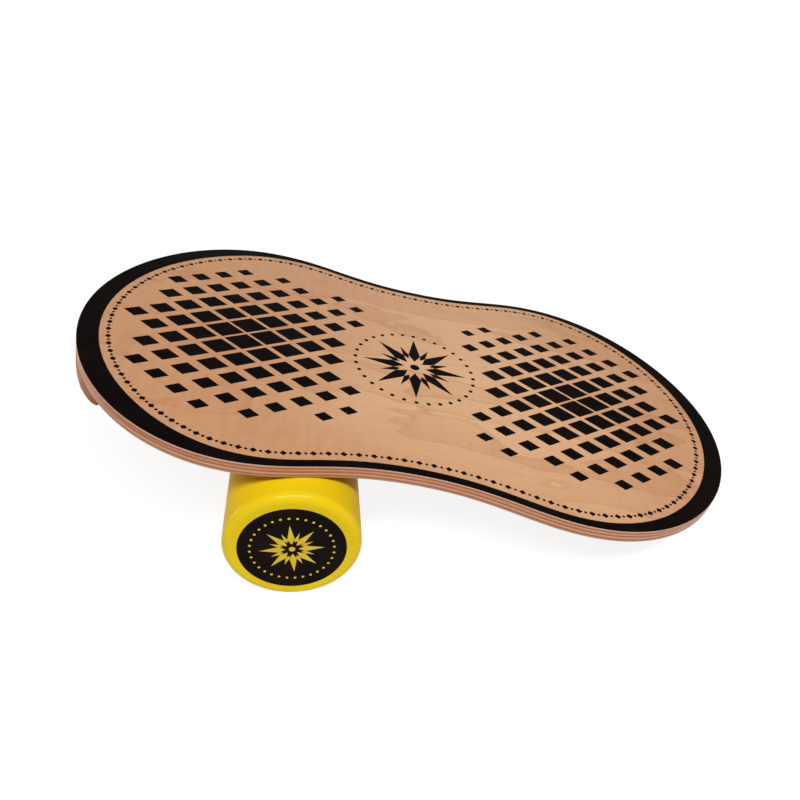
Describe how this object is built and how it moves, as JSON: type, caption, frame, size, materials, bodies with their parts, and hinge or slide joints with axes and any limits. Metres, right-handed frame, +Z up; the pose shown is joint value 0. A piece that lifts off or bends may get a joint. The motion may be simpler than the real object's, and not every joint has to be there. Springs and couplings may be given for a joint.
{
  "type": "rola bola balance board with roller",
  "caption": "Peanut-shaped plywood balance deck with a stop block under each end, leaning over a free hollow roller that rolls along its underside.",
  "frame": {"origin": "on the floor, under the middle of the whole object's box", "axes": "+X along the deck towards the end that rests on the floor, +Y along the roller towards its vented end, +Z up"},
  "size_m": [0.7652, 0.4912, 0.2129],
  "materials": {
    "birch_face": "lacquered birch face veneer, satin, with a printed black edge band",
    "birch_long_ply": "sanded plywood edge, long grain",
    "birch_cross_ply": "sanded plywood edge, end grain",
    "stop_wood": "sanded and oiled hardwood",
    "screw_steel": "zinc plated",
    "yellow_plastic": "moulded, glossy",
    "black_label": "printed vinyl, satin",
    "black_plastic": "moulded, satin",
    "seal_rubber": "matt"
  },
  "bodies": {
    "deck": {"deck_face_veneer_top": "birch_face", "deck_ply_2": "birch_cross_ply", "deck_ply_3": "birch_long_ply", "deck_ply_4": "birch_cross_ply", "deck_ply_5": "birch_long_ply", "deck_ply_6": "birch_cross_ply", "deck_face_veneer_bottom": "birch_face", "stop_block_left": "stop_wood", "stop_block_right": "stop_wood", "stop_screw_left_1": "screw_steel", "stop_screw_left_2": "screw_steel", "stop_screw_left_3": "screw_steel", "stop_screw_left_4": "screw_steel", "stop_screw_right_1": "screw_steel", "stop_screw_right_2": "screw_steel", "stop_screw_right_3": "screw_steel", "stop_screw_right_4": "screw_steel"},
    "roller_axis": {"vent_plug": "black_plastic", "vent_plug_seal": "seal_rubber"},
    "roller": {"roller_shell": "yellow_plastic", "roller_label_front": "black_label", "roller_label_rear": "black_label"}
  },
  "joints": [
    {"name": "roller_travel", "type": "slide", "parent": "deck", "child": "roller_axis", "axis": [0.9727, 0, -0.2321], "range_m": [-0.137, 0.399]},
    {"name": "roller_spin", "type": "hinge", "parent": "roller_axis", "child": "roller", "pos_m": [-0.14338, 0, 0.07], "axis": [0, -1, 0], "range_deg": [-112.2, 326.6]}
  ],
  "couplings": [
    {"joint": "roller_spin", "follows": "roller_travel", "rad_per_m": 14.286}
  ]
}
